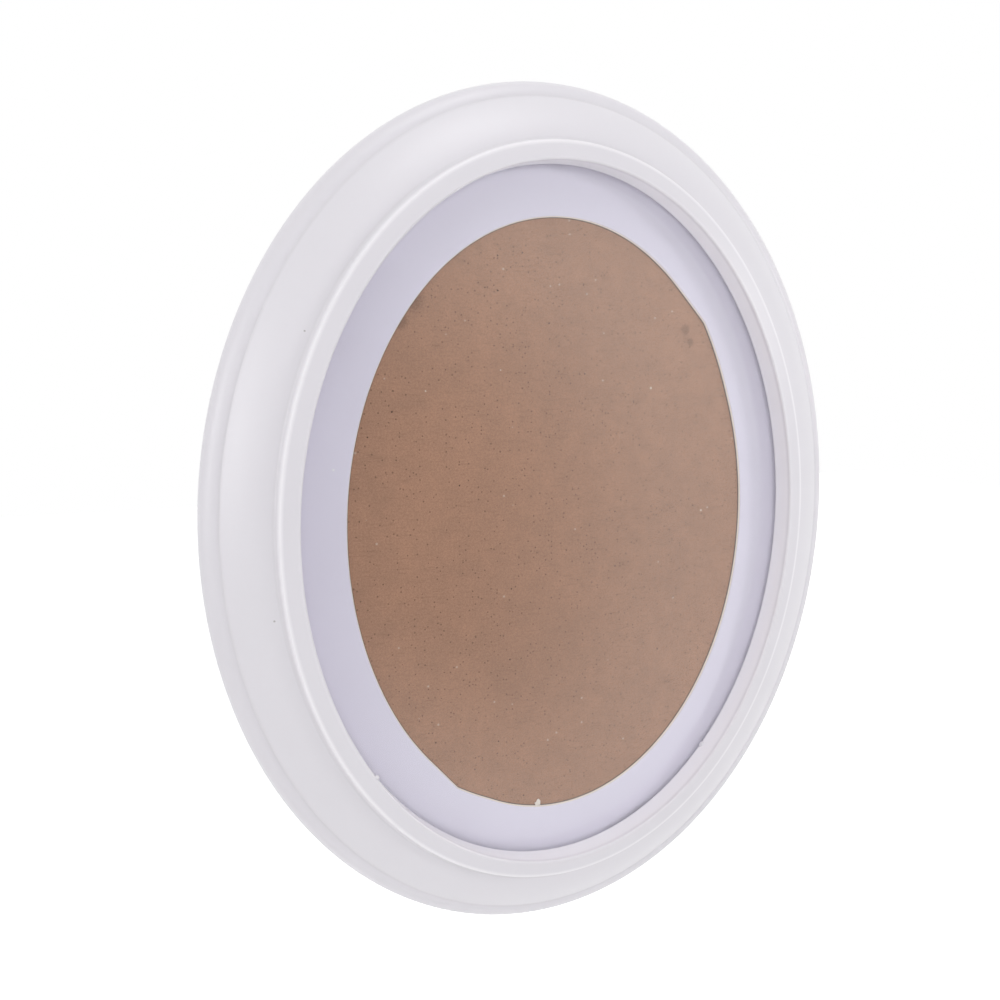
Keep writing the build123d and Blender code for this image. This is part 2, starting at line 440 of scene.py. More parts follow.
def build_flecks_group():
    """Scattered flecks: a mask that is 1 on a few cells' middles."""
    group = Group("Scattered flecks", "Mask", {"Scale": 100.0, "Size": 0.2, "Share": 0.2})
    given = group.given
    inputs = {"Vector": given["Vector"], "Scale": given["Scale"]}
    cells = group.add("ShaderNodeTexVoronoi", inputs).outputs
    draws = group.add("ShaderNodeSeparateColor", {0: cells["Color"]}).outputs
    chosen = group.maths("LESS_THAN", draws[0], given["Share"])
    size = group.times(given["Size"], group.maths("ADD", draws[1], SMALLEST_FLECK))
    near = group.spread(cells["Distance"], size, group.times(size, FULL_WITHIN))
    return group.done(group.times(near, chosen))


def build_mottle_group():
    """Soft blotches about 0.5, with a fine part on top."""
    group = Group("Mottle", "Value", {"Scale": 10.0, "Fine scale": 200.0, "Fine share": 0.3})
    given = group.given
    broad = group.noise(given["Vector"], given["Scale"], detail=4.0)
    fine = group.noise(given["Vector"], given["Fine scale"], detail=3.0)
    return group.done(group.spread(given["Fine share"], 0.0, 1.0, broad, fine))


def build_scratches_group():
    """Fine scratches in two directions, as a mask."""
    group = Group("Fine scratches", "Mask", {"Scale": 300.0, "Share": 0.3})
    masks = []
    for turn, stretch in SCRATCH_LINES:
        laid = group.moved(group.given["Vector"], turn=turn, stretch=(1.0, 1.0, stretch))
        lines = group.noise(laid, group.given["Scale"], detail=2.0)
        masks.append(group.spread(lines, *SCRATCH_EDGES))
    return group.done(group.times(group.maths("MAXIMUM", *masks), group.given["Share"]))


def build_spot_group():
    """One soft spot about a chosen point, with a ragged edge."""
    group = Group("Ragged spot", "Mask", {"Radius": MM, "Raggedness": 0.5}, ("Vector", "Middle"))
    given = group.given
    apart = group.vector_maths("DISTANCE", given["Vector"], given["Middle"])
    ragged = group.maths("SUBTRACT", group.noise(given["Vector"], SPOT_NOISE, detail=3.0), 0.5)
    push = group.times(ragged, given["Raggedness"])
    share = group.maths("ADD", group.maths("DIVIDE", apart, given["Radius"]), push)
    return group.done(group.spread(share, *SPOT_EDGES, curve="SMOOTHSTEP"))


GROUP_BUILDERS = {
    "Scattered flecks": build_flecks_group,
    "Mottle": build_mottle_group,
    "Fine scratches": build_scratches_group,
    "Ragged spot": build_spot_group,
}


# ---------- materials ----------


def scaled(values, factor=1.0):
    """A finish's colour times a factor, as an opaque shader colour."""
    return (values[0] * factor, values[1] * factor, values[2] * factor, 1.0)


class Look(Nodes):
    """A material in the making, with its shader, its object coordinates and its base colour so far.

    The scales of its patterns are counts for each metre.
    """

    def __init__(self, name, base=None):
        self.material = bpy.data.materials.new(name)
        self.material.use_nodes = True
        super().__init__(self.material.node_tree)
        self.shader = next(node for node in self.tree.nodes if node.type == "BSDF_PRINCIPLED")
        self.place = self.add("ShaderNodeTexCoord").outputs["Object"]
        self.base = base

    def mottle(self, scale, fine_scale, fine_share=0.3):
        scales = {"Scale": scale, "Fine scale": fine_scale}
        return self.group("Mottle", {"Vector": self.place, **scales, "Fine share": fine_share})

    def flecks(self, scale, size, share, shift=(0.0, 0.0, 0.0)):
        """Flecks in a share of the cells, of a size against the cells' own."""
        place = self.moved(self.place, shift=shift)
        inputs = {"Vector": place, "Scale": scale, "Size": size, "Share": share}
        return self.group("Scattered flecks", inputs)

    def scratches(self, scale, share):
        return self.group("Fine scratches", {"Vector": self.place, "Scale": scale, "Share": share})

    def spots(self, spots, raggedness):
        """One mask of ragged spots, each with its place across and up and its radius in mm."""
        flat = self.moved(self.place, stretch=(1.0, 0.0, 1.0))
        mask = 0.0
        for x, z, radius in spots:
            middle = (middle_x + x * MM, 0.0, middle_z + z * MM)
            inputs = {"Vector": flat, "Middle": middle, "Radius": radius * MM}
            spot = self.group("Ragged spot", {**inputs, "Raggedness": raggedness})
            mask = self.maths("MAXIMUM", mask, spot)
        return mask

    def painted(self, name):
        """A mask that the mesh carries."""
        return self.add("ShaderNodeAttribute", attribute_name=name).outputs["Fac"]

    def shade(self, blotches, finish, dark, pale=1.0, low=0.3, high=0.7):
        """Starts the base colour: the finish, darker and paler in blotches."""
        blotches = self.spread(blotches, low, high)
        self.base = self.mix_colours(blotches, scaled(finish, dark), scaled(finish, pale))

    def cover(self, mask, colour, strength=1.0):
        """Lays a colour over the base colour where the mask is 1."""
        self.base = self.mix_colours(self.times(mask, strength), self.base, colour)

    def bump(self, height, depth, strength, **inputs):
        """A bump of so many millimetres."""
        inputs.update(Height=height, Distance=depth * MM, Strength=strength)
        return self.add("ShaderNodeBump", inputs).outputs[0]

    def done(self, **inputs):
        """The material, with the shader's sockets linked or set by their names."""
        self.feed(self.shader, {"Base Color": self.base})
        self.feed(self.shader, {name.replace("_", " "): value for name, value in inputs.items()})
        return self.material


# Colours that are laid over the finishes, as linear values
WHITE = (1.0, 1.0, 1.0, 1.0)
DUST = (0.50, 0.485, 0.46, 1.0)
# Pale lacquer laid on as painted light: a painted highlight along the rim's arris, the inner flank
# painted brighter as if lit, and a little wear on other edges
LACQUER_LIGHT_AND_WEAR = (0.94, 0.92, 0.955, 1.0)
SPECK = (0.25, 0.23, 0.21, 1.0)
PAPER_LINT = (0.92, 0.92, 0.92, 1.0)
PALE_FIBRE = (0.62, 0.52, 0.43, 1.0)
GLASS_SHADOW = (0.96, 0.97, 0.97, 1.0)
YELLOWED_ZINC = (0.62, 0.58, 0.45, 1.0)
DULL_ZINC = (0.20, 0.19, 0.18, 1.0)
GREY_LINT = (0.33, 0.32, 0.30, 1.0)
FLOOR_WHITE = (0.96, 0.96, 0.96, 1.0)

# Dark specks in the lacquer: across and up from the oval's middle, and the radius
LACQUER_SPECKS = [(-128.5, 93.0, 0.6), (-145.4, -35.6, 0.65)]
# Stains on the hardboard, and the lint on it and on the mat
BOARD_STAINS = [(-76.0, 108.0, 7.5), (-82.0, 98.0, 5.0), (73.8, 96.0, 3.6), (77.1, 89.8, 2.8)]
BOARD_LINT = [(53.6, 66.1, 0.9), (86.5, 0.2, 0.8), (-69.9, 65.9, 0.6), (-31.3, 75.6, 0.5)]
MAT_LINT = [(-115.3, 30.6, 0.7)]
# The hardboard's strands: turn and stretch. Its flecks: scale, size, share and strength
BOARD_STRANDS = [(0.2, (0.12, 1.0, 1.0)), (1.3, (0.16, 1.0, 1.0))]
BOARD_FLECKS = [(300.0, 0.12, 0.30, 0.9), (150.0, 0.08, 0.25, 1.0), (600.0, 0.28, 0.20, 0.6)]


def make_lacquer(finish):
    look = Look("White lacquer")
    look.shade(look.mottle(scale=14.0, fine_scale=900.0), finish.lacquer, dark=0.975)
    drift = look.mottle(scale=45.0, fine_scale=1500.0)
    look.cover(look.times(look.painted("settled"), drift, clamp=True), DUST)
    # Painted light: the inner flank and the rim's arris are made paler as if lit and catching a
    # highlight, and the crest, band and back edge a little, also for wear
    painted_light_and_wear = look.painted("painted_light_and_wear")
    look.cover(painted_light_and_wear, LACQUER_LIGHT_AND_WEAR, strength=0.85)
    look.cover(look.spots(LACQUER_SPECKS, raggedness=0.4), SPECK, strength=0.6)
    rough = look.spread(look.mottle(scale=30.0, fine_scale=400.0), 0.3, 0.7, 0.34, 0.46)
    rough = look.maths("SUBTRACT", rough, look.times(painted_light_and_wear, 0.06))
    peel = look.noise(look.place, scale=520.0, detail=2.0)
    height = look.maths("SUBTRACT", peel, look.scratches(scale=420.0, share=0.10))
    bump = look.bump(height, depth=0.04, strength=0.5)
    return look.done(Roughness=rough, Normal=bump, IOR=1.47, Coat_Weight=0.5, Coat_Roughness=0.28)


def make_raw_board(finish):
    look = Look("Raw fibreboard")
    mottle = look.mottle(scale=60.0, fine_scale=1400.0, fine_share=0.5)
    look.shade(mottle, finish.raw_board, dark=0.80, pale=1.12)
    fibres = look.flecks(scale=700.0, size=0.35, share=0.10)
    look.cover(fibres, scaled(finish.raw_board, 0.45), strength=0.5)
    drift = look.mottle(scale=90.0, fine_scale=2200.0, fine_share=0.5)
    edge = look.maths("ADD", look.painted("sprayed"), look.maths("SUBTRACT", drift, 0.5))
    spray = look.spread(edge, 0.35, 0.75)
    look.cover(spray, scaled(finish.lacquer))
    rough = look.maths("SUBTRACT", 0.88, look.times(spray, 0.35))
    return look.done(Roughness=rough, Normal=look.bump(mottle, depth=0.12, strength=0.5))


def make_mat_face(finish):
    look = Look("Mat facing paper")
    mottle = look.mottle(scale=22.0, fine_scale=1800.0, fine_share=0.4)
    look.shade(mottle, finish.mat_face, dark=0.965)
    lint = look.flecks(scale=130.0, size=0.06, share=0.02)
    look.cover(look.maths("MAXIMUM", lint, look.spots(MAT_LINT, raggedness=0.9)), PAPER_LINT)
    tooth = look.noise(look.place, scale=2600.0, detail=3.0)
    rough = look.spread(tooth, 0.0, 1.0, 0.80, 0.95)
    bump = look.bump(tooth, depth=0.03, strength=0.6)
    return look.done(Roughness=rough, Normal=bump, Specular_IOR_Level=0.2)


def make_mat_core(finish):
    look = Look("Mat core")
    mottle = look.mottle(scale=120.0, fine_scale=2600.0, fine_share=0.5)
    look.shade(mottle, finish.mat_core, dark=0.92)
    # Painted shadow: the foot of the cut is darkened with the hardboard's dark fibre colour, as if
    # shaded by its gap to the board
    look.cover(look.painted("painted_gap_shadow"), scaled(finish.hardboard_dark), strength=0.9)
    pulp = look.noise(look.place, scale=1800.0, detail=4.0)
    rough = look.spread(pulp, 0.0, 1.0, 0.85, 0.97)
    bump = look.bump(pulp, depth=0.05, strength=0.8)
    return look.done(Roughness=rough, Normal=bump, Specular_IOR_Level=0.15)


def make_hardboard(finish):
    look = Look("Pressed hardboard")
    dark = scaled(finish.hardboard_dark)
    broad = look.mottle(scale=9.0, fine_scale=110.0, fine_share=0.45)
    look.shade(broad, finish.hardboard, dark=0.90, pale=1.08, low=0.35, high=0.65)
    fine = look.noise(look.place, scale=1100.0, detail=4.0, roughness=0.7)
    grain = look.spread(fine, 0.35, 0.65, 0.86, 1.10)
    look.base = look.mix_colours(1.0, look.base, grain, blend="MULTIPLY")
    for turn, stretch in BOARD_STRANDS:
        laid = look.moved(look.place, turn=turn, stretch=stretch)
        strands = look.noise(laid, scale=900.0, detail=2.0)
        look.cover(look.spread(strands, 0.60, 0.74, 0.0, 0.13), dark)
    for scale, size, share, strength in BOARD_FLECKS:
        look.cover(look.flecks(scale, size, share), dark, strength)
    pale = look.flecks(scale=200.0, size=0.12, share=0.12, shift=(0.31, 0.0, 0.17))
    look.cover(pale, PALE_FIBRE, strength=0.55)
    normal = look.add("ShaderNodeNewGeometry").outputs["Normal"]
    facing = look.add("ShaderNodeSeparateXYZ", {0: normal}).outputs[1]
    front = look.maths("LESS_THAN", facing, -0.5)
    behind = look.maths("GREATER_THAN", facing, 0.5)
    look.cover(look.times(look.spots(BOARD_LINT, raggedness=0.9), front), PALE_FIBRE)
    look.cover(look.times(look.spots(BOARD_STAINS, raggedness=1.2), front), dark, strength=0.36)
    rough = look.spread(broad, 0.3, 0.7, 0.58, 0.74)
    # Behind, the board keeps the print of the wire screen that it was pressed on
    screen = behind
    turned = look.moved(look.place, turn=pi / 4)
    for axis in ("X", "Z"):
        wires = {"Vector": turned, "Scale": 105.0, "Distortion": 0.4}
        wires = look.add("ShaderNodeTexWave", wires, bands_direction=axis)
        screen = look.times(screen, wires.outputs["Fac"])
    height = look.maths("ADD", look.times(fine, 0.3), screen)
    return look.done(Roughness=rough, Normal=look.bump(height, depth=0.10, strength=0.6))


def make_glass(finish):
    look = Look("Picture glass", scaled(finish.glass))
    rough = look.spread(look.mottle(scale=18.0, fine_scale=120.0), 0.45, 0.75, 0.0, 0.004)
    bump = look.bump(look.noise(look.place, scale=8.0, detail=1.0), depth=0.05, strength=0.1)
    clear = look.add("ShaderNodeBsdfTransparent", {"Color": GLASS_SHADOW})
    rays = look.add("ShaderNodeLightPath").outputs
    lit = look.maths("MAXIMUM", rays["Is Shadow Ray"], rays["Is Diffuse Ray"])
    shaders = {0: lit, 1: look.shader.outputs[0], 2: clear.outputs[0]}
    mixed = look.add("ShaderNodeMixShader", shaders)
    output = next(node for node in look.tree.nodes if node.type == "OUTPUT_MATERIAL")
    look.feed(output, {"Surface": mixed.outputs[0]})
    return look.done(Roughness=rough, Normal=bump, IOR=1.5, Transmission_Weight=1.0)


def make_zinc(name, finish, edge, roughness):
    """Zinc-plated steel. The rounding softens its edges in the light."""
    look = Look(name)
    mottle = look.mottle(scale=160.0, fine_scale=1600.0)
    look.shade(mottle, finish.zinc, dark=0.72)
    tint = look.noise(look.place, scale=70.0, detail=2.0)
    look.cover(look.spread(tint, 0.5, 0.75, 0.0, 0.35), YELLOWED_ZINC)
    look.cover(look.flecks(scale=900.0, size=0.3, share=0.06), DULL_ZINC, strength=0.5)
    scratches = look.scratches(scale=900.0, share=0.6)
    rough = look.maths("ADD", look.times(mottle, 0.22), roughness - 0.11)
    rough = look.maths("ADD", rough, look.times(scratches, 0.15), clamp=True)
    soft = look.add("ShaderNodeBevel", {"Radius": edge}, samples=6).outputs[0]
    height = look.maths("SUBTRACT", mottle, scratches)
    bump = look.bump(height, depth=0.02, strength=0.5, Normal=soft)
    return look.done(Roughness=rough, Normal=bump, Metallic=1.0)


def make_rubber(finish):
    look = Look("Pale rubber")
    mottle = look.mottle(scale=300.0, fine_scale=2500.0)
    look.shade(mottle, finish.rubber, dark=0.86)
    look.cover(look.flecks(scale=800.0, size=0.2, share=0.08), GREY_LINT, strength=0.5)
    return look.done(
        Roughness=look.spread(mottle, 0.0, 1.0, 0.40, 0.62),
        Normal=look.bump(mottle, depth=0.03, strength=0.4),
        Subsurface_Weight=0.2,
        Subsurface_Radius=(2 * MM, 2 * MM, 2 * MM),
    )


# ---------- pieces ----------

# How many steps the roundings of the moulding's section take
CREST_STEPS, ARRIS_STEPS, BAND_STEPS, FOOT_STEPS, BEAD_STEPS, QUIRK_STEPS = 8, 6, 16, 6, 12, 5
# The materials of the moulding's rings
LACQUERED, RAW = 0, 1


def section_points(sizes):
    """The moulding's front as rings: outward run, height above the back, dust, and painted light
    with some wear.
    """
    depth = back_y - front_y
    floor = back_y - glass_front_y
    width = sizes.rim_width + sizes.riser_width + sizes.band_width + sizes.bead_width
    crest = (0.0, depth)
    rim_edge = (sizes.rim_width, depth - sizes.rim_fall)
    riser_foot = (sizes.rim_width + sizes.riser_width, rim_edge[1] - sizes.riser_fall)
    quirk = (width - sizes.bead_width, sizes.quirk_height)
    side = (width, sizes.side_height)
    band = bulged_points(riser_foot, quirk, sizes.band_bulge, BAND_STEPS)
    bead = bulged_points(quirk, side, sizes.bead_bulge, BEAD_STEPS)
    rim = [(sizes.rim_width * share, depth - sizes.rim_fall * share) for share in (0.22, 0.5, 0.8)]
    # Each stretch: its points, its dust, and its painted light and wear. The 1.0 on the flank is
    # painted light and the 1.0 on the arris a painted highlight; the smaller values lighten the
    # crest, the band and the back edge a little, for wear and painted light
    stretches = [
        ([(0.0, floor)], 0.3, 0.0),
        ([(0.0, floor + MM)], 0.1, 1.0),
        ([(0.0, depth - 3 * MM)], 0.0, 1.0),
        (rounded_corner((0.0, floor), crest, rim_edge, sizes.crest_round, CREST_STEPS), 0.0, 0.1),
        (rim, 0.0, 0.0),
        (rounded_corner(crest, rim_edge, riser_foot, sizes.arris_round, ARRIS_STEPS), 0.0, 1.0),
        (rounded_corner(rim_edge, riser_foot, band[1], sizes.foot_round, FOOT_STEPS), 0.15, 0.0),
        (band[1:-1], 0.0, 0.1),
        (rounded_corner(band[-2], quirk, bead[1], sizes.quirk_round, QUIRK_STEPS), 0.15, 0.0),
        (bead[1:], 0.0, 0.0),
        ([(width, sizes.back_arris)], 0.2, 0.3),
        ([(width - sizes.back_arris, 0.0)], 0.0, 0.0),
    ]
    return [(*place, dust, brightening_and_wear) for places, dust, brightening_and_wear in stretches for place in places]


def moulding_ring(starts, outwards, runs, height):
    """A ring of the moulding, kept inside the plain model's box."""
    ring = []
    for start, outward, run in zip(starts, outwards, runs):
        z = min(max(start[1] + outward[1] * run, ring_low.z), ring_high.z)
        ring.append((start[0] + outward[0] * run, back_y - height, z))
    return ring


def moulding_rings(sizes):
    """Rings of the whole moulding with, for each, its material, dust, painted light and wear, and
    overspray.
    """
    half_x, half_z = sight_oval(sizes)
    rebate_x, rebate_z = glass_half_x + sizes.rebate_play, glass_half_z + sizes.rebate_play
    recess_x, recess_z = rebate_x + sizes.ledge_width, rebate_z + sizes.ledge_width
    angles = [FULL_TURN * step / sizes.stations for step in range(sizes.stations)]
    starts = [oval_point(angle, half_x, half_z) for angle in angles]
    outwards = [oval_outward(angle, half_x, half_z) for angle in angles]
    to_rebate = [reach_to_oval(*pair, rebate_x, rebate_z) for pair in zip(starts, outwards)]
    to_recess = [reach_to_oval(*pair, recess_x, recess_z) for pair in zip(starts, outwards)]
    rings, notes = [], []
    section = section_points(sizes)
    for run, height, dust, brightening_and_wear in section:
        rings.append(moulding_ring(starts, outwards, [run] * len(starts), height))
        notes.append((LACQUERED, dust, brightening_and_wear, 1.0))
    # The raw back, from outside to inside: how far each ring reaches, its height and its overspray
    width, bevel = section[-1][0], 0.4 * MM
    back = []
    for share, overspray in ((0.66, 0.8), (0.33, 0.45), (0.0, 0.15)):
        runs = [reach + bevel + (width - reach - bevel) * share for reach in to_recess]
        back.append((runs, 0.0, overspray))
    floor, ledge = back_y - glass_front_y, back_y - ledge_y
    back += [(to_recess, bevel, 0.1), (to_recess, ledge, 0.0)]
    back += [(to_rebate, ledge, 0.0), (to_rebate, floor, 0.0)]
    for runs, height, overspray in back:
        rings.append(moulding_ring(starts, outwards, runs, height))
        notes.append((RAW, 0.0, 0.0, overspray))
    return rings, notes


def sight_oval(sizes):
    """The half sizes of the sight edge."""
    return glass_half_x - sizes.lip_sides, glass_half_z - sizes.lip_ends


# Lumps where the lacquer ran: degrees round the sight edge, then height above the back,
# half length and bulge in mm
LACQUER_RUNS = [(221.0, 27.2, 1.3, 1.3), (311.4, 16.6, 1.8, 0.9)]


def lacquer_runs(sizes):
    """Small lumps of lacquer on the inner flank."""
    lumps = bmesh.new()
    half_x, half_z = sight_oval(sizes)
    for degrees, height, half_length, bulge in LACQUER_RUNS:
        x, z = oval_point(radians(degrees), half_x, half_z)
        out_x, out_z = oval_outward(radians(degrees), half_x, half_z)
        made = bmesh.ops.create_icosphere(lumps, subdivisions=3, radius=MM)
        turn = Matrix.Rotation(-atan2(out_z, out_x), 4, "Y")
        shape = Matrix.Diagonal((bulge, 0.8 * half_length, half_length, 1.0))
        place = Matrix.Translation((x, back_y - height * MM, z)) @ turn @ shape
        bmesh.ops.transform(lumps, matrix=place, verts=made["verts"])
    return mesh_from(lumps, "lacquer_runs")


def make_moulding(context):
    sizes, finish = context.scene.oval_frame_moulding, context.scene.oval_frame_finishes
    rings, notes = moulding_rings(sizes)
    materials, dust, brightening_and_wear, overspray = zip(*notes)
    # The middle mask is painted light on the flank and a painted highlight on the arris, with a
    # little wear elsewhere
    masks = {"settled": dust, "painted_light_and_wear": brightening_and_wear, "sprayed": overspray}
    # Each band of faces has the material of the ring that it leads to, and the last is lacquered
    mesh = ring_mesh("lacquered_moulding", rings, True, [*materials[1:], LACQUERED], masks)
    lacquer = make_lacquer(finish)
    finishes = [lacquer, make_raw_board(finish)]
    add_piece("lacquered_moulding", mesh, 32, finishes, "white_lacquer", "frame_moulding")
    add_piece("lacquer_runs", lacquer_runs(sizes), 60, [lacquer], "white_lacquer")


# Where the knife slipped outwards: start, deepest place and end in degrees round the opening,
# and the depth in mm
KNIFE_SLIPS = [(53.0, 41.5, 24.0, 2.2), (230.5, 240.25, 250.0, 1.9)]
# How a slip's depth grows towards its deepest place, on the side of its start and of its end
START_BEND, END_BEND = 2.0, 1.3
# Where the cut starts and ends, with its torn burr
BURR_ANGLE = radians(264.1)
# Thickness of the mat's facing paper, and how high up the cut's foot the painted shadow of its gap
# to the board reaches
PAPER = 0.25 * MM
GAP_SHADOW_RISES = (0.55 * MM, 0.40 * MM)
# The materials of the mat's rings, and how much painted shadow each ring carries
FACE, CORE = 0, 1
MAT_MATERIALS = [CORE, FACE, FACE, FACE, FACE, CORE, CORE, CORE, FACE, FACE]
MAT_GAP_SHADOW = [0.0, 0.0, 0.0, 0.0, 0.0, 0.0, 0.0, 1.0, 1.0, 0.0]


def mat_opening(sizes, lips):
    """The half sizes of the mat's opening."""
    return tuple(half - sizes.reveal for half in sight_oval(lips))


def slip_at(angle):
    """How far the mat's edge is out of line at an angle round the opening."""
    turned = angle * 180 / pi
    for start, deepest, end, depth in KNIFE_SLIPS:
        before = (turned - deepest) * (start - deepest) > 0
        side, bend = (start, START_BEND) if before else (end, END_BEND)
        share = (side - turned) / (side - deepest)
        if 0 < share <= 1:
            return depth * MM * share**bend
    return 0.0


def mat_rings(sizes, lips):
    """Rings of the mat, from the outer back edge over the face, down the slant and back."""
    thickness = mat_back_y - mat_front_y
    half_x, half_z = mat_opening(sizes, lips)
    stations = []
    for step in range(sizes.stations):
        angle = FULL_TURN * step / sizes.stations
        outer_x, outer_z = oval_point(angle, glass_half_x, glass_half_z)
        x, z = oval_point(angle, half_x, half_z)
        out_x, out_z = oval_outward(angle, half_x, half_z)
        slip = slip_at(angle)
        x, z = x + sizes.shift_x + out_x * slip, z + sizes.shift_z + out_z * slip
        slant = []
        for rise in (thickness, thickness - PAPER, *GAP_SHADOW_RISES, 0.0):
            run = sizes.bevel_run * rise / thickness
            slant.append((x + out_x * run, mat_back_y - rise, z + out_z * run))
        top_x, top_z = slant[0][0], slant[0][2]
        stations.append([
            (outer_x, mat_back_y, outer_z),
            (outer_x, mat_front_y + PAPER, outer_z),
            (outer_x, mat_front_y, outer_z),
            ((outer_x + top_x) / 2, mat_front_y, (outer_z + top_z) / 2),
            *slant,
            ((outer_x + x) / 2, mat_back_y, (outer_z + z) / 2),
        ])
    return list(zip(*stations))


def burr_mesh(sizes, lips):
    """A torn lump of card at the mat's lower edge."""
    lump = bmesh.new()
    bmesh.ops.create_icosphere(lump, subdivisions=3, radius=0.5)
    for vertex in lump.verts:
        co = vertex.co
        ripple = 0.10 * sin(9 * co.x + 4 * co.z) + 0.08 * sin(13 * co.z + 5 * co.y)
        vertex.co = co * (1 + ripple)
        vertex.co.z += 0.12 * sin(6 * co.x)
    x, z = oval_point(BURR_ANGLE, *mat_opening(sizes, lips))
    thickness = mat_back_y - mat_front_y
    size = sizes.burr_size
    middle = (x + sizes.shift_x, mat_back_y - thickness / 2, z + sizes.shift_z + 0.35 * size)
    shape = Matrix.Diagonal((size, thickness * 0.82, size * 1.15, 1.0))
    lump.transform(Matrix.Translation(middle) @ shape)
    return mesh_from(lump, "mat_cut_burr")


def make_mat(context):
    scene = context.scene
    sizes, lips, finish = scene.oval_frame_mat, scene.oval_frame_moulding, scene.oval_frame_finishes
    # The mask is the painted shadow along the foot of the cut
    rings, masks = mat_rings(sizes, lips), {"painted_gap_shadow": MAT_GAP_SHADOW}
    mesh = ring_mesh("window_mat", rings, True, MAT_MATERIALS, masks)
    face, core = make_mat_face(finish), make_mat_core(finish)
    add_piece("window_mat", mesh, 30, [face, core], "mat_card", "mat_board")
    add_piece("mat_cut_burr", burr_mesh(sizes, lips), 60, [core], "mat_card")


# Share of a screw head's height below its dome
UPRIGHT = 0.38
# How much shorter and narrower than at its mouth a slot is at its foot
FOOT_SPAN, FOOT_WIDTH = 0.45, 0.6
# The turn of the first screw's cross and what each further one adds, in radians
FIRST_TURN, NEXT_TURN = 0.35, 1.1


def screw_mesh(sizes, grip):
    """A pan-head screw. Its seat is at height zero and its head points up."""
    head, rise, shank = sizes.screw_head, sizes.screw_head_rise, sizes.screw_shank
    steps = 8
    profile = [(0.0, -grip), (shank * 0.5, -grip), (shank, shank - grip), (shank, 0.0)]
    profile += [(head * 0.96, 0.0), (head, rise * 0.06), (head, rise * UPRIGHT)]
    for step in range(1, steps):
        turn = step / steps * pi / 2
        height = UPRIGHT + (1 - UPRIGHT) * sin(turn) ** 0.9
        profile.append((head * cos(turn) ** 0.8, rise * height))
    return lathe_mesh("pan_head_screw", [*profile, (0.0, rise)], 48)


def slot_cutter(sizes, turn):
    """A tapered bar that cuts one slot of the cross recess."""
    cutter = bmesh.new()
    bmesh.ops.create_cube(cutter, size=1.0)
    for vertex in cutter.verts:
        deep = vertex.co.z < 0
        vertex.co.x *= sizes.recess_span * (FOOT_SPAN if deep else 1.0)
        vertex.co.y *= sizes.recess_width * (FOOT_WIDTH if deep else 1.0)
        vertex.co.z = vertex.co.z * sizes.recess_depth * 2 + sizes.screw_head_rise
    cutter.transform(Matrix.Rotation(turn, 4, "Z"))
    return mesh_from(cutter, "slot_cutter")


def cut_mesh(mesh, cutter_mesh):
    """The first mesh less the second."""
    body, cutter = new_object("cut_body", mesh), new_object("cut_tool", cutter_mesh)
    cut = body.modifiers.new("recess", "BOOLEAN")
    cut.operation, cut.object, cut.solver = "DIFFERENCE", cutter, "EXACT"
    bpy.context.view_layer.update()
    evaluated = body.evaluated_get(bpy.context.evaluated_depsgraph_get())
    result = bpy.data.meshes.new_from_object(evaluated)
    bpy.data.objects.remove(body)
    bpy.data.objects.remove(cutter)
    return result


def make_screws(context):
    """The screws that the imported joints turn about, each with its cross at another angle."""
    sizes, finish = context.scene.oval_frame_fittings, context.scene.oval_frame_finishes
    seat_y = screws_high.y - sizes.screw_head_rise
    single = screw_mesh(sizes, seat_y - screws_low.y)
    for turn in (0.0, pi / 2):
        single = cut_mesh(single, slot_cutter(sizes, turn))
    places = []
    for index, joint in enumerate(frame["joints"]):
        x, _, z = joint["pos_m"]
        places.append(place_facing_wall(x, seat_y, z, spin=FIRST_TURN + NEXT_TURN * index))
    mesh = joined_copies("pan_head_screws", single, places)
    plating = make_zinc("Plated screw", finish, edge=0.12 * MM, roughness=0.34)
    add_piece("pan_head_screws", mesh, 35, [plating], "plated_screw", "turn_button_screws")


# The profile of a nail's head, as shares of its radius and height
NAIL_HEAD = [(0.97, 0.0), (1.0, 0.15), (1.0, 0.6), (0.93, 0.85), (0.6, 0.97), (0.0, 1.0)]


def make_nails(context):
    sizes, finish = context.scene.oval_frame_fittings, context.scene.oval_frame_finishes
    low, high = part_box("hanger_nails")
    head, rise, shank = sizes.nail_head, sizes.nail_head_rise, sizes.nail_shank
    seat_y = high.y - rise
    grip = seat_y - low.y
    profile = [(0.0, -grip), (shank, -grip + 2.2 * shank), (shank, 0.0)]
    profile += [(head * out, rise * up) for out, up in NAIL_HEAD]
    single = lathe_mesh("hanger_nail", profile, 36)
    middle = (low.z + high.z) / 2
    places = [place_facing_wall(x, seat_y, middle) for x in (low.x + head, high.x - head)]
    mesh = joined_copies("flat_head_nails", single, places)
    plating = make_zinc("Plated nail", finish, edge=0.1 * MM, roughness=0.38)
    add_piece("flat_head_nails", mesh, 35, [plating], "plated_screw", "hanger_nails")


def plate_nodes(context, nodes, name, roughness):
    """Gives steel nodes that keep their shape one plating of that name."""
    finish, edge = context.scene.oval_frame_finishes, context.scene.oval_frame_fittings.soft_edge
    plating = make_zinc(name, finish, edge, roughness)
    for node in nodes:
        dress_node(node, plating)


def make_bumper(name, node, rubber, rounding):
    low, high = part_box(node)
    radius, rise = (high.x - low.x) / 2, high.y - low.y
    profile = [(0.0, 0.0), (radius * 0.98, 0.0), (radius, rounding * 0.3)]
    steps = 6
    for step in range(steps + 1):
        turn = step / steps * pi / 2
        profile.append((radius - rounding * (1 - cos(turn)), rise - rounding * (1 - sin(turn))))
    profile += [(radius * 0.5, rise), (0.0, rise)]
    mesh = lathe_mesh(name, profile, 56)
    mesh.transform(place_facing_wall((low.x + high.x) / 2, low.y, (low.z + high.z) / 2))
    add_piece(name, mesh, 40, [rubber], "clear_rubber", node)


# ---------- stage ----------

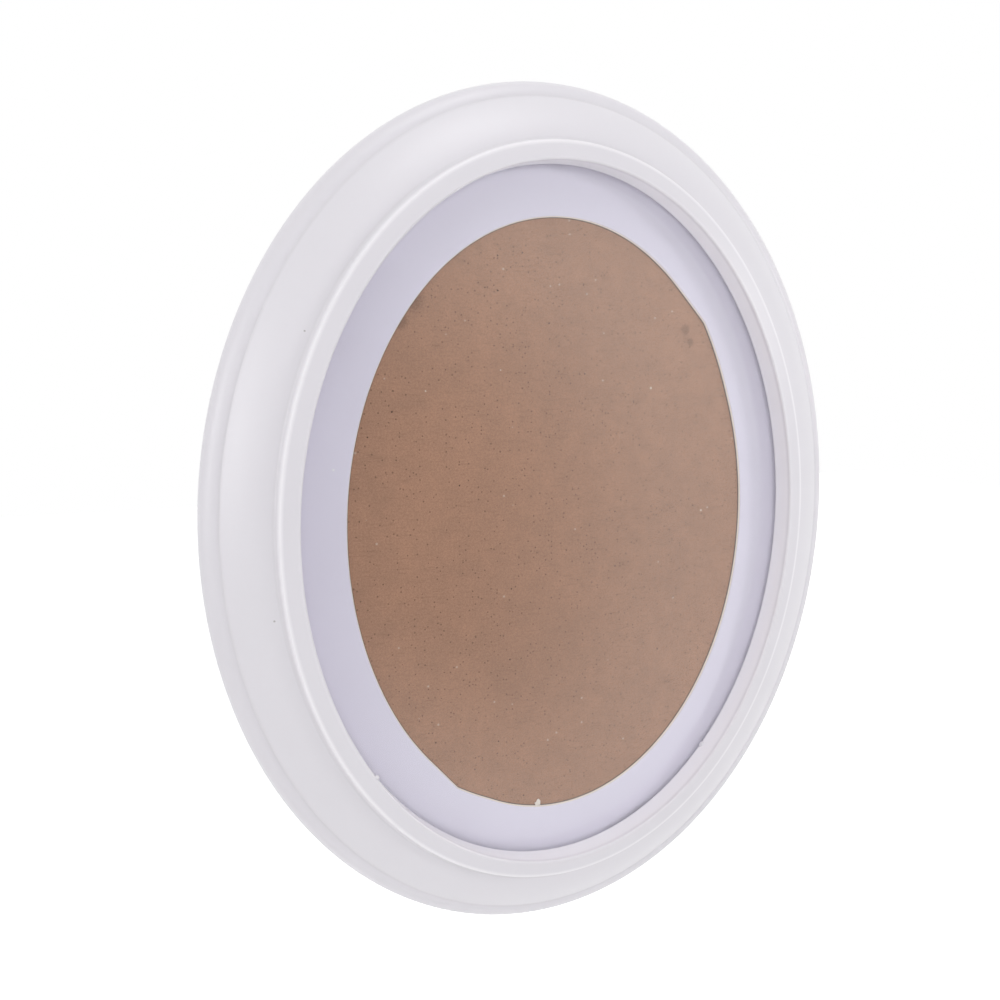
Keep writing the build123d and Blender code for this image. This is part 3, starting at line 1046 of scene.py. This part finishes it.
SENSOR_WIDTH = 36.0  # millimetres
CLIP_RANGE = (0.01, 50.0)  # metres


def direction(turn, tilt):
    """A direction from the oval's middle, turned round from the front and up."""
    return Vector((sin(turn) * cos(tilt), -cos(turn) * cos(tilt), sin(tilt)))


def add_camera(stage):
    """The camera at the photograph's place, with its own right and up."""
    turn, tilt = stage.azimuth, stage.elevation
    back = direction(turn, tilt)
    right = Vector((cos(turn), sin(turn), 0.0))
    up = back.cross(right)
    aim = Vector((middle_x, back_y - stage.aim_height, middle_z))
    data = bpy.data.cameras.new("studio_camera")
    data.lens, data.sensor_width = stage.lens, SENSOR_WIDTH
    data.clip_start, data.clip_end = CLIP_RANGE
    camera = new_object("studio_camera", data)
    camera.location = aim + back * stage.distance - right * stage.aim_right - up * stage.aim_up
    camera.rotation_euler = (pi / 2 - tilt, 0.0, turn)
    bpy.context.scene.camera = camera


# Softboxes: azimuth and elevation in degrees, distance and size in metres, radiance
SOFTBOXES = {
    "left_key": (-46, 12, 1.6, 0.5, 1.0),
    "left_fill": (-71, 10, 1.6, 1.6, 2.9),
    "right_key": (52, 12, 1.6, 0.5, 25.0),
    "right_glow": (45, 16, 1.6, 1.6, 0.4),
    "top_fill": (0, 66, 1.6, 1.6, 2.4),
    "low_fill": (0, -38, 0.8, 0.8, 0.6),
}
LAMP_MIDDLE = (0.5, 0.5, 0.0)  # in the lamp's own coordinates
FLOOR_REACH = 4.0  # metres from the origin to each side


def add_softbox(name, azimuth, elevation, reach, size, radiance):
    """A square lamp that faces the oval's middle and fades towards its edges.

    Evenly lit, a panel of radiance 1 gives pi watts a square metre.
    """
    data = bpy.data.lights.new(name, "AREA")
    data.shape, data.size = "SQUARE", size
    data.energy = radiance * pi * size * size
    data.use_nodes = True
    nodes = Nodes(data.node_tree)
    glow = next(node for node in nodes.tree.nodes if node.type == "EMISSION")
    across = nodes.add("ShaderNodeNewGeometry").outputs["Parametric"]
    apart = nodes.vector_maths("DISTANCE", across, LAMP_MIDDLE)
    nodes.feed(glow, {"Strength": nodes.spread(apart, 0.5, 0.0, curve="SMOOTHSTEP")})
    lamp = new_object(name, data)
    out = direction(radians(azimuth), radians(elevation))
    lamp.location = Vector((middle_x, front_y, middle_z)) + out * reach
    lamp.rotation_euler = out.to_track_quat("Z", "Y").to_euler()


def seen_and_mirrored(nodes):
    """Masks of the rays that see the background, and of those that do so by mirror or glass."""
    rays = nodes.add("ShaderNodeLightPath").outputs
    mirrored = nodes.maths("MAXIMUM", rays["Is Glossy Ray"], rays["Is Transmission Ray"])
    return nodes.maths("MAXIMUM", rays["Is Camera Ray"], mirrored), mirrored


def light_world(stage):
    """White all round where it is seen, and the studio's own light for lighting.

    Mirrors show a dim patch on the studio's open side, where the photographer stands.
    """
    world = bpy.data.worlds.new("white_studio")
    bpy.context.scene.world = world
    world.use_nodes = True
    nodes = Nodes(world.node_tree)
    nodes.tree.nodes.clear()
    around = nodes.add("ShaderNodeTexCoord").outputs["Generated"]
    above = nodes.maths("MAXIMUM", nodes.vector_maths("DOT_PRODUCT", around, (0.0, 0.0, 1.0)), 0.0)
    glow = nodes.times(nodes.times(above, above), stage.ceiling_glow)
    light = nodes.maths("ADD", glow, stage.ambient)
    open_side = direction(radians(stage.open_azimuth), radians(stage.open_elevation))
    facing = nodes.vector_maths("DOT_PRODUCT", around, open_side)
    edge = cos(radians(stage.open_reach))
    dim = nodes.spread(facing, edge, 1.0, 0.0, stage.open_depth, "SMOOTHSTEP")
    seen, mirrored = seen_and_mirrored(nodes)
    white = nodes.maths("SUBTRACT", 1.0, nodes.times(mirrored, dim))
    level = nodes.spread(seen, 0.0, 1.0, light, white)
    sky = nodes.add("ShaderNodeBackground", {"Color": WHITE, "Strength": level})
    nodes.add("ShaderNodeOutputWorld", {"Surface": sky.outputs[0]})


def add_floor(stage):
    """A wide pale floor below the hanging frame."""
    mesh = bpy.data.meshes.new("studio_floor")
    level = ring_low.z - stage.floor_drop
    corners = [(-1, -1), (1, -1), (1, 1), (-1, 1)]
    points = [(x * FLOOR_REACH, y * FLOOR_REACH, level) for x, y in corners]
    mesh.from_pydata(points, [], [(0, 1, 2, 3)])
    look = Look("Studio floor", FLOOR_WHITE)
    glow = look.times(seen_and_mirrored(look)[0], stage.floor_glow)
    material = look.done(
        Roughness=0.9, Specular_IOR_Level=0.1, Emission_Color=WHITE, Emission_Strength=glow
    )
    mesh.materials.append(material)
    floor = new_object("studio_floor", mesh)
    floor.visible_glossy = False
    floor.visible_transmission = False


def make_stage(context):
    stage = context.scene.oval_frame_stage
    context.scene.view_settings.view_transform = "Standard"
    add_camera(stage)
    light_world(stage)
    for name, setting in SOFTBOXES.items():
        add_softbox(name, *setting)
    add_floor(stage)


# ---------- operators ----------


class OVALFRAME_OT_stage(Operator):
    """Adds the camera, the lamps and the floor"""

    bl_idname = "oval_frame.add_stage"
    bl_label = "Studio Stage"

    def execute(self, context):
        make_stage(context)
        return {"FINISHED"}


class OVALFRAME_OT_moulding(Operator):
    """Sweeps the lacquered moulding round the oval"""

    bl_idname = "oval_frame.add_moulding"
    bl_label = "Lacquered Moulding"

    def execute(self, context):
        make_moulding(context)
        return {"FINISHED"}


class OVALFRAME_OT_glass(Operator):
    """Gives the glass pane its finish"""

    bl_idname = "oval_frame.dress_glass"
    bl_label = "Picture Glass"

    def execute(self, context):
        dress_node("glass_pane", make_glass(context.scene.oval_frame_finishes))
        return {"FINISHED"}


class OVALFRAME_OT_mat(Operator):
    """Cuts the mat with its bevelled opening"""

    bl_idname = "oval_frame.add_mat"
    bl_label = "Window Mat"

    def execute(self, context):
        make_mat(context)
        return {"FINISHED"}


class OVALFRAME_OT_backing(Operator):
    """Gives the backing board its hardboard"""

    bl_idname = "oval_frame.dress_backing"
    bl_label = "Backing Board"

    def execute(self, context):
        dress_node("backing_board", make_hardboard(context.scene.oval_frame_finishes))
        return {"FINISHED"}


class OVALFRAME_OT_turn_buttons(Operator):
    """Plates the turn buttons"""

    bl_idname = "oval_frame.dress_turn_buttons"
    bl_label = "Turn Buttons"

    def execute(self, context):
        buttons = [node for node in sorted(frame["nodes"]) if node.startswith("turn_button_")]
        buttons.remove("turn_button_screws")
        plate_nodes(context, buttons, "Plated turn button", 0.36)
        return {"FINISHED"}


class OVALFRAME_OT_screws(Operator):
    """Adds the pan-head screws of the turn buttons"""

    bl_idname = "oval_frame.add_screws"
    bl_label = "Pan-Head Screws"

    def execute(self, context):
        make_screws(context)
        return {"FINISHED"}


class OVALFRAME_OT_hanger(Operator):
    """Plates the sawtooth hanger"""

    bl_idname = "oval_frame.dress_hanger"
    bl_label = "Sawtooth Hanger"

    def execute(self, context):
        plate_nodes(context, ["sawtooth_hanger"], "Plated hanger", 0.42)
        return {"FINISHED"}


class OVALFRAME_OT_nails(Operator):
    """Adds the nails of the hanger"""

    bl_idname = "oval_frame.add_nails"
    bl_label = "Hanger Nails"

    def execute(self, context):
        make_nails(context)
        return {"FINISHED"}


class OVALFRAME_OT_bumpers(Operator):
    """Adds the rubber bumpers that rest on the wall"""

    bl_idname = "oval_frame.add_bumpers"
    bl_label = "Wall Bumpers"

    def execute(self, context):
        scene = context.scene
        rubber = make_rubber(scene.oval_frame_finishes)
        rounding = scene.oval_frame_fittings.bumper_round
        make_bumper("rubber_bumper_left", "bumper_left", rubber, rounding)
        make_bumper("rubber_bumper_right", "bumper_right", rubber, rounding)
        return {"FINISHED"}


PIECES = [
    OVALFRAME_OT_stage,
    OVALFRAME_OT_moulding,
    OVALFRAME_OT_glass,
    OVALFRAME_OT_mat,
    OVALFRAME_OT_backing,
    OVALFRAME_OT_turn_buttons,
    OVALFRAME_OT_screws,
    OVALFRAME_OT_hanger,
    OVALFRAME_OT_nails,
    OVALFRAME_OT_bumpers,
]

SETTINGS = {
    "oval_frame_moulding": MouldingSizes,
    "oval_frame_mat": MatSizes,
    "oval_frame_fittings": FittingSizes,
    "oval_frame_finishes": Finishes,
    "oval_frame_stage": StageSettings,
}


class VIEW3D_PT_oval_frame(Panel):
    """Lists the pieces of the oval frame"""

    bl_label = "Oval Frame"
    bl_idname = "VIEW3D_PT_oval_frame"
    bl_space_type = "VIEW_3D"
    bl_region_type = "UI"
    bl_category = "Oval Frame"

    def draw(self, context):
        column = self.layout.column(align=True)
        for piece in PIECES:
            column.operator(piece.bl_idname)


def register():
    for group in SETTINGS.values():
        bpy.utils.register_class(group)
    for name, group in SETTINGS.items():
        setattr(bpy.types.Scene, name, PointerProperty(type=group))
    for piece in PIECES:
        bpy.utils.register_class(piece)
    bpy.utils.register_class(VIEW3D_PT_oval_frame)


def unregister():
    bpy.utils.unregister_class(VIEW3D_PT_oval_frame)
    for piece in reversed(PIECES):
        bpy.utils.unregister_class(piece)
    for name in SETTINGS:
        delattr(bpy.types.Scene, name)
    for group in reversed(SETTINGS.values()):
        bpy.utils.unregister_class(group)


def main():
    """Makes the pieces in order."""
    register()
    for piece in PIECES:
        area, name = piece.bl_idname.split(".")
        if getattr(getattr(bpy.ops, area), name)() != {"FINISHED"}:
            raise RuntimeError(f"{piece.bl_idname} didn't finish")
    bpy.context.view_layer.update()


if __name__ == "__main__":
    main()
